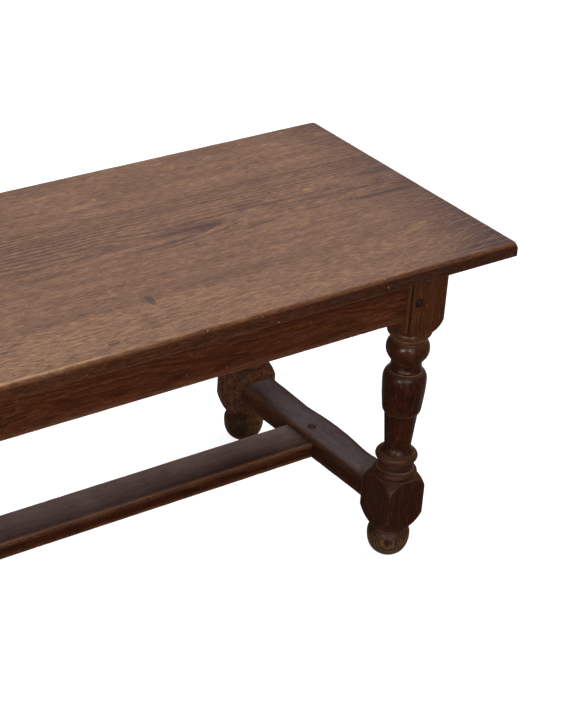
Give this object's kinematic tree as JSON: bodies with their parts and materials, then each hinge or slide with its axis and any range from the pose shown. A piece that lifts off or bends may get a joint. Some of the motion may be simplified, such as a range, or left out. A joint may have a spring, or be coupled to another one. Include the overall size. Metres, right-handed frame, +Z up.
{
  "type": "coffee table",
  "caption": "Low oblong oak coffee table with a plank top, beaded aprons, turned legs on ball feet and low stretchers in an H, held by pegged mortise and tenon joints.",
  "frame": {"origin": "middle of the table's footprint, on the floor", "axes": "+X along the length, to the right; the front long side faces -Y; +Z up"},
  "size_m": [1.085, 0.433, 0.458],
  "materials": {
    "oak_top": "aged oak, stained and waxed, satin, long grain with dark rings and pale rays",
    "oak_frame": "aged oak, dark red-brown stain, waxed, worn lighter on the arrises",
    "oak_pegs": "dark end grain, waxed over with the frame",
    "oak_bare": "bare oak, dull, as left inside a table",
    "screw_steel": "plain steel, dulled"
  },
  "bodies": {
    "root": {"top_board_front": "oak_top", "top_board_middle": "oak_top", "top_board_back": "oak_top", "apron_front": "oak_frame", "apron_back": "oak_frame", "apron_left": "oak_frame", "apron_right": "oak_frame", "leg_front_left": "oak_frame", "leg_front_right": "oak_frame", "leg_back_left": "oak_frame", "leg_back_right": "oak_frame", "end_stretcher_left": "oak_frame", "end_stretcher_right": "oak_frame", "centre_stretcher": "oak_frame", "apron_pegs_front": "oak_pegs", "apron_pegs_back": "oak_pegs", "apron_pegs_left": "oak_pegs", "apron_pegs_right": "oak_pegs", "stretcher_pegs_left": "oak_pegs", "stretcher_pegs_right": "oak_pegs", "centre_stretcher_pegs": "oak_pegs", "table_button_front_left": "oak_bare", "table_button_front_middle": "oak_bare", "table_button_front_right": "oak_bare", "table_button_back_left": "oak_bare", "table_button_back_middle": "oak_bare", "table_button_back_right": "oak_bare", "table_button_left_end": "oak_bare", "table_button_right_end": "oak_bare", "button_screws": "screw_steel"}
  },
  "joints": []
}
